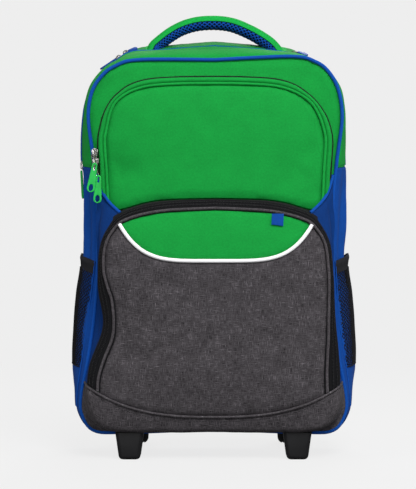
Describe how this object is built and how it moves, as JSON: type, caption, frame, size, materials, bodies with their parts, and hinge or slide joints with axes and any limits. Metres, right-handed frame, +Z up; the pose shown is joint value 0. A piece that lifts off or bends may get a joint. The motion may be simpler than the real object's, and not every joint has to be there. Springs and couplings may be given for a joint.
{
  "type": "wheeled travel bag",
  "caption": "Upright soft school trolley bag with front pockets, mesh side pockets, padded top handle, front feet, rear wheels and a telescopic pull handle.",
  "frame": {"origin": "on the floor, under the middle of the bag's box", "axes": "+Z up, +X to the right as seen from the front, +Y towards the back with the wheels; the pockets face -Y"},
  "size_m": [0.3558, 0.2328, 0.5495],
  "materials": {
    "green_cloth": "matte woven polyester",
    "blue_cloth": "matte woven polyester",
    "melange_cloth": "matte heather weave",
    "black_cloth": "matte",
    "net": "open knitted net",
    "white_cloth": "matte",
    "black_plastic": "satin",
    "wheel_rubber": "matte",
    "green_rubber": "satin",
    "blue_rubber": "satin",
    "steel": "polished",
    "dark_aluminium": "dark anodised",
    "aluminium": "satin"
  },
  "bodies": {
    "bag": {"front_panel": "green_cloth", "front_gusset": "green_cloth", "back_gusset": "green_cloth", "lower_gusset": "blue_cloth", "main_zip": "blue_cloth", "back_panel": "black_cloth", "front_piping": "blue_cloth", "back_piping": "blue_cloth", "base_panel": "melange_cloth", "pocket_panel": "melange_cloth", "pocket_yoke": "green_cloth", "pocket_zip_band": "black_cloth", "wing_left": "blue_cloth", "wing_right": "blue_cloth", "pocket_piping": "melange_cloth", "base_piping": "melange_cloth", "yoke_piping": "white_cloth", "pocket_tab": "blue_cloth", "upper_pocket": "green_cloth", "upper_zip_band": "green_cloth", "upper_pocket_piping": "green_cloth", "wing_piping_left": "blue_cloth", "wing_piping_right": "blue_cloth", "side_base_left": "blue_cloth", "side_base_right": "blue_cloth", "side_net_left": "net", "side_net_right": "net", "elastic_left": "black_cloth", "elastic_right": "black_cloth", "handle_cover": "green_cloth", "handle_filling": "blue_cloth", "upper_slider_a": "steel", "upper_slider_b": "steel", "upper_pull_a": "green_rubber", "upper_pull_b": "green_rubber", "main_slider_a": "steel", "main_slider_b": "steel", "main_slider_c": "steel", "main_pull_a": "blue_rubber", "main_pull_b": "blue_rubber", "main_pull_c": "blue_rubber", "side_slider": "steel", "side_pull": "green_rubber", "foot_left": "black_plastic", "foot_right": "black_plastic", "axle_left": "steel", "axle_right": "steel", "wheel_bracket_left": "black_plastic", "wheel_bracket_right": "black_plastic", "pull_tube_left": "dark_aluminium", "pull_tube_right": "dark_aluminium"},
    "left_wheel": {"wheel_left": "wheel_rubber"},
    "right_wheel": {"wheel_right": "wheel_rubber"},
    "pull_handle": {"pull_rod_left": "aluminium", "pull_rod_right": "aluminium", "pull_grip": "black_plastic"}
  },
  "joints": [
    {"name": "left_wheel_spin", "type": "hinge", "parent": "bag", "child": "left_wheel", "pos_m": [-0.097, 0.0864, 0.03], "axis": [1, 0, 0], "continuous": true},
    {"name": "right_wheel_spin", "type": "hinge", "parent": "bag", "child": "right_wheel", "pos_m": [0.097, 0.0864, 0.03], "axis": [1, 0, 0], "continuous": true},
    {"name": "pull_handle_slide", "type": "slide", "parent": "bag", "child": "pull_handle", "axis": [0, 0, 1], "range_m": [0, 0.3]}
  ]
}
